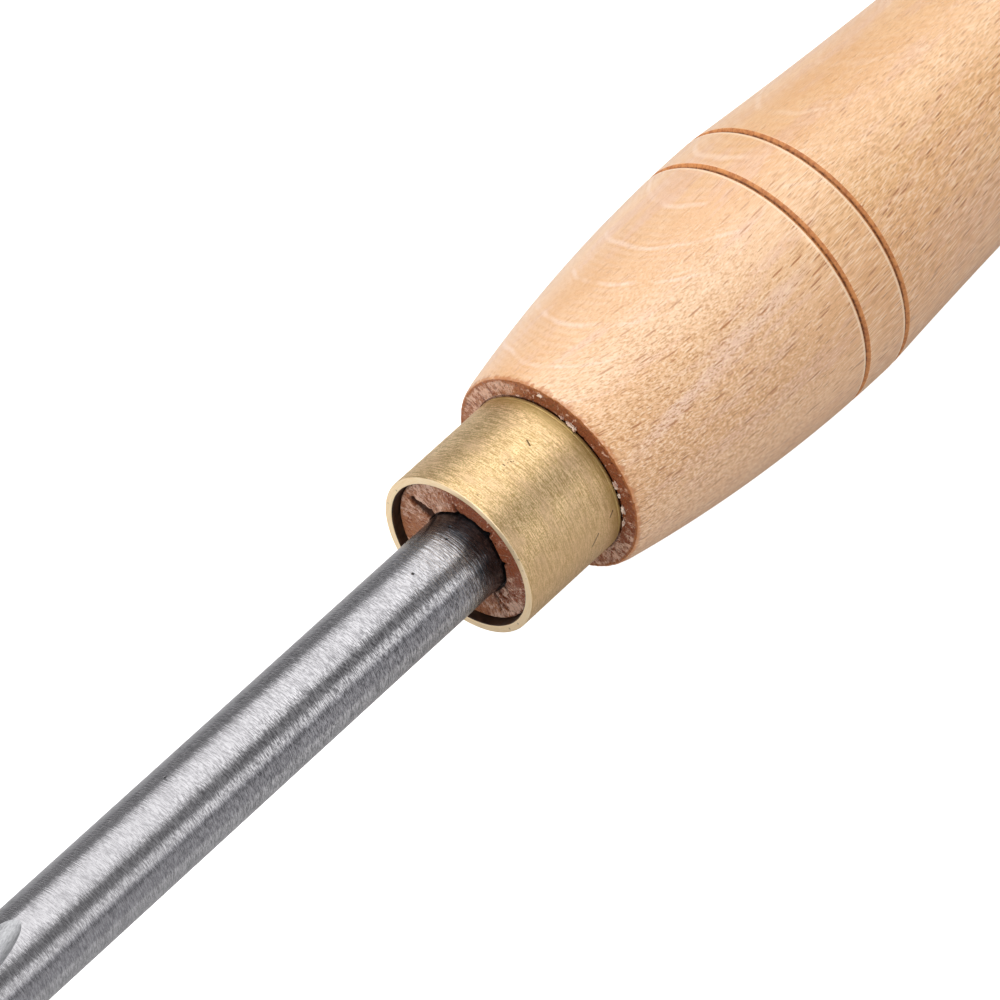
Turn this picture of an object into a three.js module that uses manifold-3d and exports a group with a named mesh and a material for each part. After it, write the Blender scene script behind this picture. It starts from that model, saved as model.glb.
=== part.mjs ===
// A woodturning gouge: a round steel bar with a milled flute, set in a turned beech handle
// whose front end is bound by a brass ferrule.
//
// Millimetres, +Z up. The handle's axis runs along X, the cutting edge points towards -X and
// the flute opens upwards, give or take the blade's small roll. A station is a distance along
// that axis from the ferrule's front face, positive towards the butt. The origin lies under
// the middle of the tool's length, level with the lowest line of the handle's belly.

import * as THREE from 'three';
import { mergeVertices } from 'three/addons/utils/BufferGeometryUtils.js';
import Module from 'manifold-3d';

const wasm = await Module();
wasm.setup();

const DEGREE = Math.PI / 180;
const FACETS = 64; // round every turned piece

// Blade: radii and angles of the bar, its flute and its ground nose.
const BLADE_RADIUS = 5;
const BLADE_REACH = 155; // ferrule's front face to the cutting edge
const SHANK_DEPTH = 55; // ferrule's front face to the hidden end of the shank
const SHANK_CHAMFER = 0.6;
const FLUTE_RADIUS = 2.75;
const FLUTE_DEPTH = 5;
const FLUTE_END = -67.1; // station where the flute runs out at the top of the bar
const FLUTE_CUTTER_RADIUS = 80;
const CUTTER_FACETS = 256;
const FLUTE_ROLL = -6 * DEGREE; // the blade is glued in turned this far about its own axis
const BEVEL_ANGLE = 40 * DEGREE; // under the nose, measured from the bar's axis
const WING_ANGLE = 14 * DEGREE; // along the top of the swept-back wings
const NOSE_RISE = 1.8; // the grind's apex stands this far above the flute's floor

// The bore is drilled slightly off the handle's axis, so the blade stands off it too.
const BORE_OFFSET_Y = -0.3;
const BORE_OFFSET_Z = -0.15;

// Ferrule and the tenon it is pushed over.
const FERRULE_RADIUS = 10;
const FERRULE_WALL = 1;
const FERRULE_LENGTH = 14.8;
const FERRULE_EDGE = 0.25; // rounding of its four edges
const TENON_FACE = 1; // station of the tenon's end, just inside the ferrule
const TENON_CHAMFER = 0.3;
const FERRULE_SEAT = 0.3; // depth of the relief behind the ferrule

// Handle.
const SHOULDER_STATION = FERRULE_LENGTH;
const SHOULDER_RADIUS = 12.3;
const SHOULDER_EDGE = 0.4; // rounding where the shoulder meets the belly
const BELLY_STATION = 54;
const BELLY_RADIUS = 16.3;
const GROOVE_STATIONS = [48.9, 55.7];
const GROOVE_WIDTH = 1.1;
const GROOVE_DEPTH = 0.45;
const WAIST_STATION = 122;
const WAIST_RADIUS = 13.7;
const SWELL_STATION = 228;
const SWELL_RADIUS = 16;
const BUTT_STATION = 250;
const BUTT_FLAT_RADIUS = 4;
const BORE_DEPTH = 57;

// Cured adhesive, and the thin clearance that keeps each film apart from its neighbours.
const BORE_RADIUS = 5.35;
const TENON_RADIUS = 8.7;
const FILM_CLEARANCE = 0.05;
const SHANK_FILM_START = 2;
const FERRULE_FILM_START = 2.5;
const FERRULE_FILM_END = 14.4;

// Places of the handle's axis in the part's frame.
const OVERALL_LENGTH = BLADE_REACH + BUTT_STATION;
const FERRULE_FRONT_X = BLADE_REACH - OVERALL_LENGTH / 2;
const AXIS_HEIGHT = BELLY_RADIUS;

const STEEL = new THREE.MeshStandardMaterial({ color: 0x9a9b9f, roughness: 0.35, metalness: 1 });
const BRASS = new THREE.MeshStandardMaterial({ color: 0xc9a864, roughness: 0.35, metalness: 1 });
const BEECH = new THREE.MeshStandardMaterial({ color: 0xe6bf94, roughness: 0.45, metalness: 0 });
const EPOXY = new THREE.MeshStandardMaterial({ color: 0xd8cdb0, roughness: 0.25, metalness: 0 });

// Turns a three.js geometry into a closed solid that can be cut and joined.
function solidFrom(geometry) {
  const bare = geometry.clone();
  bare.deleteAttribute('normal');
  bare.deleteAttribute('uv');
  const merged = mergeVertices(bare, 1e-5);
  const corners = merged.index.array;
  const triangles = [];
  for (let i = 0; i < corners.length; i += 3) {
    const [a, b, c] = corners.slice(i, i + 3);
    if (a !== b && b !== c && c !== a) triangles.push(a, b, c);
  }
  return new wasm.Manifold(new wasm.Mesh({
    numProp: 3,
    vertProperties: new Float32Array(merged.attributes.position.array),
    triVerts: new Uint32Array(triangles),
  }));
}

function geometryFrom(solid) {
  const mesh = solid.getMesh();
  const geometry = new THREE.BufferGeometry();
  geometry.setAttribute('position', new THREE.BufferAttribute(mesh.vertProperties, 3));
  geometry.setIndex(new THREE.BufferAttribute(mesh.triVerts, 1));
  return geometry;
}

// Turns an outline of [station, radius] points about the X axis.
function turned(outline, facets = FACETS) {
  const profile = outline.map(([station, radius]) => new THREE.Vector2(radius, station));
  return new THREE.LatheGeometry(profile, facets).rotateZ(-Math.PI / 2);
}

// Points along a curve given as a function of the station, both ends included.
function sampled(curve, from, to, steps) {
  return Array.from({ length: steps + 1 }, (_, i) => {
    const station = from + (to - from) * i / steps;
    return [station, curve(station)];
  });
}

// Points along an arc of a circle, from one angle to another, both ends included.
function arc(station, radius, size, fromAngle, toAngle, steps) {
  return Array.from({ length: steps + 1 }, (_, i) => {
    const angle = fromAngle + (toAngle - fromAngle) * i / steps;
    return [station + size * Math.cos(angle), radius + size * Math.sin(angle)];
  });
}

// Radius of the arc that is level at its crest and has dropped by drop at a distance run.
function arcRadius(run, drop) {
  return (run * run + drop * drop) / (2 * drop);
}

// A tube with plain ends, between two radii.
function sleeve(start, end, innerRadius, outerRadius) {
  return turned([
    [start, innerRadius],
    [start, outerRadius],
    [end, outerRadius],
    [end, innerRadius],
    [start, innerRadius],
  ]);
}

// The handle's front slope rises on one long arc to the crest of the belly.
function frontSlope(station) {
  const run = BELLY_STATION - SHOULDER_STATION;
  const size = arcRadius(run, BELLY_RADIUS - SHOULDER_RADIUS);
  return BELLY_RADIUS - size + Math.sqrt(size ** 2 - (station - BELLY_STATION) ** 2);
}

// Behind the second groove it falls on a hollow arc to the waist.
function waistSlope(station) {
  const groove = GROOVE_STATIONS[1];
  const size = arcRadius(WAIST_STATION - groove, frontSlope(groove) - WAIST_RADIUS);
  return WAIST_RADIUS + size - Math.sqrt(size ** 2 - (station - WAIST_STATION) ** 2);
}

// From the waist it swells smoothly towards the butt.
function rearSwell(station) {
  const along = (station - WAIST_STATION) / (SWELL_STATION - WAIST_STATION);
  return WAIST_RADIUS + (SWELL_RADIUS - WAIST_RADIUS) * (1 - Math.cos(Math.PI * along)) / 2;
}

// The rounded butt is an ellipse that ends at a small flat.
function buttDome(steps) {
  const flatAngle = Math.acos(BUTT_FLAT_RADIUS / SWELL_RADIUS);
  const length = (BUTT_STATION - SWELL_STATION) / Math.sin(flatAngle);
  return Array.from({ length: steps + 1 }, (_, i) => {
    const angle = flatAngle * i / steps;
    return [SWELL_STATION + length * Math.sin(angle), SWELL_RADIUS * Math.cos(angle)];
  });
}

// The bottom of a turned V groove.
function grooveFloor(station) {
  return [station, frontSlope(station) - GROOVE_DEPTH];
}

function handleOutline() {
  const halfGroove = GROOVE_WIDTH / 2;
  const [firstGroove, secondGroove] = GROOVE_STATIONS;
  const shoulderEdge = arc(SHOULDER_STATION + SHOULDER_EDGE, SHOULDER_RADIUS - SHOULDER_EDGE,
    SHOULDER_EDGE, Math.PI, Math.PI / 2, 3);
  const seatRadius = FERRULE_RADIUS + FERRULE_SEAT;
  return [
    [TENON_FACE, 0],
    [TENON_FACE, TENON_RADIUS - TENON_CHAMFER],
    [TENON_FACE + TENON_CHAMFER, TENON_RADIUS],
    [SHOULDER_STATION + FERRULE_SEAT, TENON_RADIUS],
    [SHOULDER_STATION + FERRULE_SEAT, seatRadius],
    [SHOULDER_STATION, seatRadius],
    ...shoulderEdge,
    ...sampled(frontSlope, SHOULDER_STATION + 2, firstGroove - halfGroove, 8),
    grooveFloor(firstGroove),
    [firstGroove + halfGroove, frontSlope(firstGroove + halfGroove)],
    [BELLY_STATION, BELLY_RADIUS],
    [secondGroove - halfGroove, frontSlope(secondGroove - halfGroove)],
    grooveFloor(secondGroove),
    ...sampled(waistSlope, secondGroove + halfGroove, WAIST_STATION, 7),
    ...sampled(rearSwell, WAIST_STATION, SWELL_STATION, 10).slice(1),
    ...buttDome(10).slice(1),
    [BUTT_STATION, 0],
  ];
}

function handleGeometry() {
  const blank = solidFrom(turned(handleOutline()));
  const bore = new THREE.CylinderGeometry(BORE_RADIUS, BORE_RADIUS, BORE_DEPTH * 2, FACETS);
  bore.rotateZ(-Math.PI / 2).translate(0, BORE_OFFSET_Y, BORE_OFFSET_Z);
  return geometryFrom(blank.subtract(solidFrom(bore)));
}

function ferruleGeometry() {
  const inner = FERRULE_RADIUS - FERRULE_WALL;
  const steps = 3;
  const front = FERRULE_EDGE;
  const back = FERRULE_LENGTH - FERRULE_EDGE;
  const low = inner + FERRULE_EDGE;
  const high = FERRULE_RADIUS - FERRULE_EDGE;
  const outline = [
    ...arc(front, low, FERRULE_EDGE, 1.5 * Math.PI, Math.PI, steps),
    ...arc(front, high, FERRULE_EDGE, Math.PI, Math.PI / 2, steps),
    ...arc(back, high, FERRULE_EDGE, Math.PI / 2, 0, steps),
    ...arc(back, low, FERRULE_EDGE, 0, -Math.PI / 2, steps),
  ];
  return turned([...outline, outline[0]]);
}

// The bar before grinding: its hidden end has a small chamfer.
function barBlank() {
  return solidFrom(turned([
    [-BLADE_REACH - BLADE_RADIUS, 0],
    [-BLADE_REACH - BLADE_RADIUS, BLADE_RADIUS],
    [SHANK_DEPTH - SHANK_CHAMFER, BLADE_RADIUS],
    [SHANK_DEPTH, BLADE_RADIUS - SHANK_CHAMFER],
    [SHANK_DEPTH, 0],
  ]));
}

// The space swept by a disc cutter with a full-round rim: a straight U-shaped channel along
// the bar, and the disc itself where it lifts out.
function fluteCut() {
  const floor = BLADE_RADIUS - FLUTE_DEPTH;
  const lift = Math.sqrt(FLUTE_CUTTER_RADIUS ** 2 - (FLUTE_CUTTER_RADIUS - FLUTE_DEPTH) ** 2);
  const liftStart = FLUTE_END - lift;
  const channelStart = -BLADE_REACH - 2 * BLADE_RADIUS;
  const rimSteps = 16;

  const section = new THREE.Shape();
  section.moveTo(FLUTE_RADIUS, BLADE_RADIUS * 2);
  section.lineTo(-FLUTE_RADIUS, BLADE_RADIUS * 2);
  section.absarc(0, floor + FLUTE_RADIUS, FLUTE_RADIUS, Math.PI, 2 * Math.PI, false);
  const channel = new THREE.ExtrudeGeometry(section, {
    depth: liftStart - channelStart,
    bevelEnabled: false,
    curveSegments: rimSteps,
  });
  const alongBar = new THREE.Matrix4().makeBasis(
    new THREE.Vector3(0, 1, 0), new THREE.Vector3(0, 0, 1), new THREE.Vector3(1, 0, 0));
  channel.applyMatrix4(alongBar).translate(channelStart, 0, 0).rotateX(FLUTE_ROLL);

  const rim = arc(0, FLUTE_CUTTER_RADIUS - FLUTE_RADIUS, FLUTE_RADIUS, Math.PI, 0, rimSteps);
  const disc = turned([[-FLUTE_RADIUS, 0], ...rim, [FLUTE_RADIUS, 0]], CUTTER_FACETS);
  disc.rotateZ(Math.PI / 2).translate(liftStart, 0, floor + FLUTE_CUTTER_RADIUS);
  disc.rotateX(FLUTE_ROLL);
  return solidFrom(channel).add(solidFrom(disc));
}

// Everything inside the cone that grinding leaves: steep under the nose, shallow on the wings.
function noseCone() {
  const halfAngle = (BEVEL_ANGLE + WING_ANGLE) / 2;
  const tilt = (BEVEL_ANGLE - WING_ANGLE) / 2;
  const height = (BLADE_REACH + SHANK_DEPTH) * 1.2;
  const floor = BLADE_RADIUS - FLUTE_DEPTH;
  const cone = new THREE.ConeGeometry(height * Math.tan(halfAngle), height, FACETS);
  cone.translate(0, -height / 2, 0).rotateZ(Math.PI / 2).rotateY(tilt);
  cone.translate(-BLADE_REACH - NOSE_RISE / Math.tan(BEVEL_ANGLE), 0, floor + NOSE_RISE);
  return solidFrom(cone.rotateX(FLUTE_ROLL));
}

function bladeGeometry() {
  const bar = barBlank().subtract(fluteCut());
  return geometryFrom(bar.intersect(noseCone()));
}

// Epoxy fills the thin space between the shank and its bore.
function shankAdhesiveGeometry() {
  return sleeve(SHANK_FILM_START, SHANK_DEPTH,
    BLADE_RADIUS + FILM_CLEARANCE, BORE_RADIUS - FILM_CLEARANCE);
}

// Epoxy bonds the ferrule's bore to the tenon.
function ferruleAdhesiveGeometry() {
  const ferruleBore = FERRULE_RADIUS - FERRULE_WALL;
  return sleeve(FERRULE_FILM_START, FERRULE_FILM_END,
    TENON_RADIUS + FILM_CLEARANCE, ferruleBore - FILM_CLEARANCE);
}

function piece(name, geometry, material) {
  const mesh = new THREE.Mesh(geometry, material);
  mesh.name = name;
  return mesh;
}

const tool = new THREE.Group();
tool.position.set(FERRULE_FRONT_X, 0, AXIS_HEIGHT);
tool.add(piece('handle', handleGeometry(), BEECH));
tool.add(piece('ferrule', ferruleGeometry(), BRASS));
tool.add(piece('ferrule_adhesive', ferruleAdhesiveGeometry(), EPOXY));

const bladeGroup = new THREE.Group();
bladeGroup.position.set(0, BORE_OFFSET_Y, BORE_OFFSET_Z);
bladeGroup.add(piece('gouge_blade', bladeGeometry(), STEEL));
bladeGroup.add(piece('shank_adhesive', shankAdhesiveGeometry(), EPOXY));
tool.add(bladeGroup);

const gouge = new THREE.Group();
gouge.add(tool);

export default gouge;
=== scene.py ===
"""The looks of a woodturning gouge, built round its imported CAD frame.

The frame is in metres: +X runs along the handle towards the butt, +Z is up and the flute
opens upwards, but for the bar's small roll. The shapes below are written the way a turner
measures them, in millimetres: a station is a distance along the handle's axis from the
ferrule's front face, positive towards the butt, and a radius is measured from that axis.
"""

import math
import random

import bmesh
import bpy
from mathutils import Matrix, Vector, noise


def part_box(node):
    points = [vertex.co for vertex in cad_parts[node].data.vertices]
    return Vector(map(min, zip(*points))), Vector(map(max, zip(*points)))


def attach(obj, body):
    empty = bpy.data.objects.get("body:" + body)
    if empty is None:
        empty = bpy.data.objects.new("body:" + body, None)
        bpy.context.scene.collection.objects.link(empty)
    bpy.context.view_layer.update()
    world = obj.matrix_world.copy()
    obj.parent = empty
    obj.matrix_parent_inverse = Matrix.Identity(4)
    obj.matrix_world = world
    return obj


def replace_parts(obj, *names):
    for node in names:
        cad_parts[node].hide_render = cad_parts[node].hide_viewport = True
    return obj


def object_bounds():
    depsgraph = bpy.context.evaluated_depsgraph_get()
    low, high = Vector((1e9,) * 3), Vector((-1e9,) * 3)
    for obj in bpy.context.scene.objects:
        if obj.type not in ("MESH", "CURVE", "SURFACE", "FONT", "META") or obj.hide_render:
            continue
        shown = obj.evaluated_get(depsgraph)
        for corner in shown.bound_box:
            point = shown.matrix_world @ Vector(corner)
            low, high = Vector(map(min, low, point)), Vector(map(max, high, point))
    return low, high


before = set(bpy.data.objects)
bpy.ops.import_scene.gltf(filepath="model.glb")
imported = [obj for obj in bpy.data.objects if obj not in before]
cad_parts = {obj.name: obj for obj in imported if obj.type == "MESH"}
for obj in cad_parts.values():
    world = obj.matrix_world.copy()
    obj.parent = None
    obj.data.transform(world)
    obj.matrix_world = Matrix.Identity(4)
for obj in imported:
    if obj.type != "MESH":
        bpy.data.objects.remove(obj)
cad_low, cad_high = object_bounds()

MM = 0.001

# ---- places, from the frame

ferrule_low, ferrule_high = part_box("ferrule")
blade_low, blade_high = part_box("gouge_blade")
handle_low, handle_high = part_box("handle")

FRONT = Vector((ferrule_low.x, (ferrule_low.y + ferrule_high.y) / 2,
                (ferrule_low.z + ferrule_high.z) / 2))
BORE_OFFSET = Vector((0, (blade_low.y + blade_high.y) / 2 - FRONT.y,
                      (blade_low.z + blade_high.z) / 2 - FRONT.z)) / MM
FERRULE_RADIUS = (ferrule_high.y - ferrule_low.y) / 2 / MM
FERRULE_LENGTH = (ferrule_high.x - ferrule_low.x) / MM
BLADE_RADIUS = (blade_high.y - blade_low.y) / 2 / MM
BLADE_REACH = (FRONT.x - blade_low.x) / MM
SHANK_DEPTH = (blade_high.x - FRONT.x) / MM
BELLY_RADIUS = (handle_high.y - handle_low.y) / 2 / MM
BUTT_STATION = (handle_high.x - FRONT.x) / MM
TENON_FACE = (handle_low.x - FRONT.x) / MM

# ---- dimensions, millimetres

FERRULE_WALL = 1.0
FERRULE_EDGE = 0.25  # the rounding of its edges, but for the outer one in front
FERRULE_OUTER_EDGE = 0.12
FERRULE_LINE_BACK, FERRULE_LINE_DEPTH = 0.5, 0.06  # a scribed line near the back edge
TENON_RADIUS = 8.7
TENON_EDGE_RADIUS = 8.86  # the bare end flares a little where the ferrule leaves it free
TENON_EDGE = 0.15
TENON_FLARE = (2.0, 2.3)  # the stations between which the flare ends
BORE_RADIUS = 5.35
BORE_DEPTH = 57
BORE_STATIONS = (BORE_DEPTH, 30, 10, 4, 2.4)  # where its wall has rings
BORE_MOUTH = 0.5  # how far behind the tenon's face the bore turns ragged
SEAT_DEPTH = 0.3
SEAT_GAP = 0.14
SHOULDER_RADIUS = 12.3
SHOULDER_EDGE = 0.4
BELLY_STATION = 54
GROOVE_STATIONS = (48.9, 55.7)
GROOVE_WIDTH = 1.1
GROOVE_DEPTH = 0.45
GROOVE_ROLL = 0.12  # the part of that depth over which the lips roll in
GROOVE_LIP = 0.85  # where the V meets its rolled lips, as a share of the half width
WAIST_STATION = 122
WAIST_RADIUS = 13.7
SWELL_STATION = 228
SWELL_RADIUS = 16
BUTT_FLAT_RADIUS = 4

FLUTE_RADIUS = 2.75
FLUTE_DEPTH = 5
FLUTE_END = -67.1
FLUTE_CUTTER_RADIUS = 80
FLUTE_FLOOR = BLADE_RADIUS - FLUTE_DEPTH
FLUTE_LIFT = math.sqrt(FLUTE_CUTTER_RADIUS ** 2 - (FLUTE_CUTTER_RADIUS - FLUTE_DEPTH) ** 2)
FLUTE_ROLL = Matrix.Rotation(math.radians(-6), 3, "X")
BEVEL_ANGLE = math.radians(40)
WING_ANGLE = math.radians(14)
NOSE_RISE = 1.8
SHANK_CHAMFER = 0.6

# How many flat sides stand for a circle, and how close the rings of a turned surface lie.
HANDLE_FACETS, METAL_FACETS, CUTTER_FACETS = 360, 256, 720
CUTTER_STEPS, EDGE_STEPS, SHOULDER_STEPS, GROOVE_STEPS = 48, 6, 8, 10
TENON_SPACING, SHOULDER_SPACING = 0.07, 0.08
BELLY_SPACING, REAR_SPACING, BLADE_SPACING = 0.8, 1.2, 3
BUTT_SPACING = 2  # degrees

# ---- colours (linear)

def rgb(red, green, blue):
    return (red, green, blue, 1.0)


CREAM = rgb(0.83, 0.525, 0.295)
TAN = rgb(0.76, 0.43, 0.205)
PINK = rgb(0.77, 0.475, 0.325)
RAY = rgb(0.43, 0.165, 0.045)
GRAIN_HOLLOW_SHADE = rgb(0.53, 0.25, 0.09)
GRAIN_CREST_HIGHLIGHT = rgb(0.95, 0.70, 0.48)
LAYER_EDGE = rgb(0.92, 0.68, 0.54)
LIP = rgb(0.93, 0.68, 0.45)
BURNT = rgb(0.62, 0.26, 0.08)
BURNT_DARK = rgb(0.40, 0.13, 0.035)
BURNT_RIM = rgb(0.50, 0.185, 0.05)
STREAK_PALE = rgb(0.82, 0.55, 0.43)
FAR_TINT = rgb(0.98, 0.91, 0.77)
FLANK_SHADE_TINT = rgb(0.93, 0.86, 0.77)
GROOVE_BOTTOM_SHADE = rgb(0.10, 0.035, 0.012)
END_BROWN = rgb(0.46, 0.175, 0.075)
END_RED = rgb(0.26, 0.062, 0.016)
END_PALE = rgb(0.88, 0.57, 0.42)
END_DARK = rgb(0.06, 0.016, 0.007)
STEEL_DARK = rgb(0.13, 0.127, 0.135)
STEEL_LIGHT = rgb(0.62, 0.61, 0.625)
STEEL_EVEN = rgb(0.375, 0.367, 0.378)
STEEL_STAIN_AND_SHADE = rgb(0.045, 0.062, 0.082)
FLUTE_DARK = rgb(0.30, 0.30, 0.31)
FLUTE_LIGHT = rgb(0.50, 0.50, 0.51)
PIT = rgb(0.03, 0.03, 0.03)
BRASS_DARK = rgb(0.45, 0.29, 0.13)
BRASS_LIGHT = rgb(0.90, 0.67, 0.39)
BRASS_PINK = rgb(0.70, 0.49, 0.30)
BRASS_FLANK_SHADE = rgb(0.60, 0.40, 0.205)
BRASS_TARNISH = rgb(0.50, 0.37, 0.11)
BRASS_MARK = rgb(0.12, 0.08, 0.04)
BRASS_FACED = rgb(0.96, 0.77, 0.52)
GLUE_BROWN = rgb(0.022, 0.010, 0.006)
GLUE_AMBER = rgb(0.07, 0.032, 0.016)
CRUMB_PALE = rgb(0.78, 0.66, 0.54)
CRUMB_PINK = rgb(0.55, 0.33, 0.24)

# Handling marks on the ferrule: ((station, degrees round it), length, lean in degrees).
FERRULE_MARKS = (
    ((10.4, 177), 1.7, -45),
    ((13.3, 168), 0.8, -45),
    ((10.0, 97), 0.8, 115),
)
MARK_WIDTH = 0.13
# A cluster of specks on the ferrule, and its radius.
SPECKS, SPECKS_RADIUS = (6.3, 99.6), 0.9
# Pits in the bar near the ferrule: (station, degrees round it), and their size.
PITS = ((-0.7, 84), (-2.2, 94), (-8.0, 98))
PIT_SIZE = 0.14
# The side of the bar that shows its grinding lines most, where painted glint strengthens them,
# and its two darker flanks, painted shade standing in for dark reflections, with the share of
# the light that each keeps, which is a little more for blue.
GLINT_SIDE = Vector((0, -0.93, 0.37))
COOLER = 1.03
PAINTED_SHADE_FLANKS = ((Vector((0, -0.930, 0.367)), 0.68), (Vector((0, 0.643, 0.766)), 0.58))

# Two directions across the handle: towards its pale crest, and towards its shaded flank.
CREST = Vector((0, -0.486, 0.874))
FLANK = Vector((0, -0.874, -0.486))
# How far the fibres lean that way for each millimetre of length, far from the shoulder, and
# how much more they lean close to it, where the grain swerves.
CREST_LEAN, CREST_SWERVE = 0.05, 0.20
FLANK_LEAN, FLANK_SWERVE = -0.08, 0.33
SWERVE_STATION, SWERVE_LENGTH = 15, 16
# A pale streak along the handle, between two places (station, degrees round the axis).
PALE_STREAK = ((18, 140), (45, 126))
# The annual layers meet the surface in nested arcs on this side.
LAYER_NORMAL = Vector((0.30, 0.406, 0.914))
LAYER_SIDE = Vector((0, 0.406, 0.914))
LAYER_THICKNESS = 2.7
# The sides on which the bare end grain is palest and reddest.
PALE_SIDE = Vector((0, 0.82, 0.57))
RED_SIDE = Vector((0, -0.87, 0.50))


# ---- node materials

class Shader:
    """Builds one material. Most methods add a node and return its output socket."""

    def __init__(self, name):
        self.material = bpy.data.materials.new(name)
        self.material.use_nodes = True
        self.tree = self.material.node_tree
        self.surface = self.tree.nodes["Principled BSDF"]

    def node(self, kind, values=(), **settings):
        """A new node, with values for its inputs in order."""
        node = self.tree.nodes.new("ShaderNode" + kind)
        for key, value in settings.items():
            setattr(node, key, value)
        for socket, value in zip(node.inputs, values):
            self.feed(socket, value)
        return node

    def feed(self, socket, value):
        if isinstance(value, bpy.types.NodeSocket):
            self.tree.links.new(value, socket)
        else:
            socket.default_value = value

    def feed_named(self, node, **values):
        for name, value in values.items():
            self.feed(node.inputs[name.replace("_", " ")], value)

    def place(self):
        """Position in millimetres from the middle of the ferrule's front face."""
        position = self.node("TexCoord").outputs["Object"]
        return self.vector("MULTIPLY", self.vector("SUBTRACT", position, FRONT), [1 / MM] * 3)

    def vector(self, operation, *values):
        node = self.node("VectorMath", values, operation=operation)
        return node.outputs["Value" if operation in ("DOT_PRODUCT", "LENGTH") else "Vector"]

    def math(self, operation, *values):
        return self.node("Math", values, operation=operation).outputs["Value"]

    def times(self, first, second):
        return self.math("MULTIPLY", first, second)

    def minus(self, first, second):
        return self.math("SUBTRACT", first, second)

    def times_plus(self, value, factor, added):
        return self.math("MULTIPLY_ADD", value, factor, added)

    def most(self, first, second):
        return self.math("MAXIMUM", first, second)

    def split(self, vector):
        return self.node("SeparateXYZ", [vector]).outputs

    def join(self, x, y, z):
        return self.node("CombineXYZ", [x, y, z]).outputs["Vector"]

    def ramp(self, value, low, high, from_value=0.0, to_value=1.0):
        """Smoothly follows value from low to high."""
        return self.node("MapRange", [value, low, high, from_value, to_value],
                         interpolation_type="SMOOTHSTEP").outputs["Result"]

    def noise(self, vector, per_mm, detail=3, roughness=0.55):
        """Noise with so many features to the millimetre along each axis."""
        node = self.node("TexNoise")
        self.feed_named(node, Vector=self.vector("MULTIPLY", vector, per_mm), Scale=1,
                        Detail=detail, Roughness=roughness)
        return node.outputs["Fac"]

    def cells(self, vector, per_mm):
        """Random cells, so many to the millimetre along each axis."""
        node = self.node("TexVoronoi")
        self.feed_named(node, Vector=self.vector("MULTIPLY", vector, per_mm), Scale=1)
        return node.outputs

    def mix(self, factor, first, second, blend="MIX"):
        node = self.node("Mix", [factor], data_type="RGBA", blend_type=blend)
        for socket, color in zip([s for s in node.inputs if s.type == "RGBA"], (first, second)):
            self.feed(socket, color)
        return [s for s in node.outputs if s.type == "RGBA"][0]

    def bump(self, height, distance, strength):
        """Raises the surface by distance millimetres where height is one."""
        node = self.node("Bump")
        self.feed_named(node, Height=height, Distance=distance * MM, Strength=strength)
        return node.outputs["Normal"]

    def finish(self, color, roughness, normal=None, **constants):
        self.feed_named(self.surface, Base_Color=color, Roughness=roughness, **constants)
        if normal is not None:
            self.feed_named(self.surface, Normal=normal)
        return self.material


# ---- wood

def fibre_place(shader):
    """Place in the tree's own directions: along the fibres, then two ways across them."""
    place = shader.place()
    station = shader.split(place)[0]
    turn = shader.math("DIVIDE", shader.minus(station, SWERVE_STATION), SWERVE_LENGTH)
    swerve = shader.times(shader.math("TANH", turn), SWERVE_LENGTH)

    def across(side, lean, extra):
        straight = shader.vector("DOT_PRODUCT", place, side)
        straight = shader.times_plus(station, -lean, straight)
        return shader.times_plus(swerve, -extra, straight)

    return shader.join(station, across(CREST, CREST_LEAN, CREST_SWERVE),
                       across(FLANK, FLANK_LEAN, FLANK_SWERVE))


def around(shader):
    """Station, angle about the handle's axis in turns, and radius."""
    x, y, z = shader.split(shader.place())
    angle = shader.math("DIVIDE", shader.math("ARCTAN2", z, y), math.tau)
    squares = shader.math("ADD", shader.times(y, y), shader.times(z, z))
    return x, angle, shader.math("SQRT", squares)


def facing(shader, direction):
    """How squarely this side of the handle faces a direction across it, from -1 to 1."""
    across = shader.vector("MULTIPLY", shader.place(), (0, 1, 1))
    return shader.vector("DOT_PRODUCT", shader.vector("NORMALIZE", across), direction)


def band(shader, value, centre, half_width, softness):
    """One within half_width of centre, falling to none over softness."""
    away = shader.math("ABSOLUTE", shader.minus(value, centre))
    return shader.ramp(away, half_width + softness, half_width)


def scattered(shader, vector, per_mm, share, size, softness):
    """Blobs of a given size, in cells, on a share of the cells."""
    cells = shader.cells(vector, per_mm)
    chosen = shader.math("LESS_THAN", shader.split(cells["Color"])[0], share)
    return shader.times(shader.ramp(cells["Distance"], size + softness, size), chosen)


def ray_ends(shader, fibres, length, width, share):
    """Short dark dashes, one to a cell of this size, where the wood's rays end."""
    return scattered(shader, fibres, (1 / length, 1 / width, 1 / width), share, 0.11, 0.13)


def layer_lines(shader):
    """Pale lines where the annual layers graze the surface, with fine ones between."""
    place = shader.place()
    drift = shader.noise(place, (0.05, 0.09, 0.09), 2)
    jitter = shader.noise(place, (0.7, 0.7, 0.7), 2)
    layer = shader.vector("DOT_PRODUCT", place, LAYER_NORMAL)
    layer = shader.times_plus(drift, 2.0, layer)
    layer = shader.times_plus(jitter, 0.10, layer)
    year_end = shader.ramp(shader.math("PINGPONG", layer, LAYER_THICKNESS / 2), 0.24, 0.02)
    within = shader.ramp(shader.math("PINGPONG", layer, LAYER_THICKNESS / 12), 0.18, 0.06)
    worn = shader.ramp(shader.noise(place, (0.16, 0.3, 0.3), 3), 0.36, 0.60)
    lines = shader.most(year_end, shader.times(within, 0.28))
    grazed = shader.ramp(facing(shader, LAYER_SIDE), 0.60, 0.92)
    return shader.times(shader.times(lines, worn), grazed)


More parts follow.
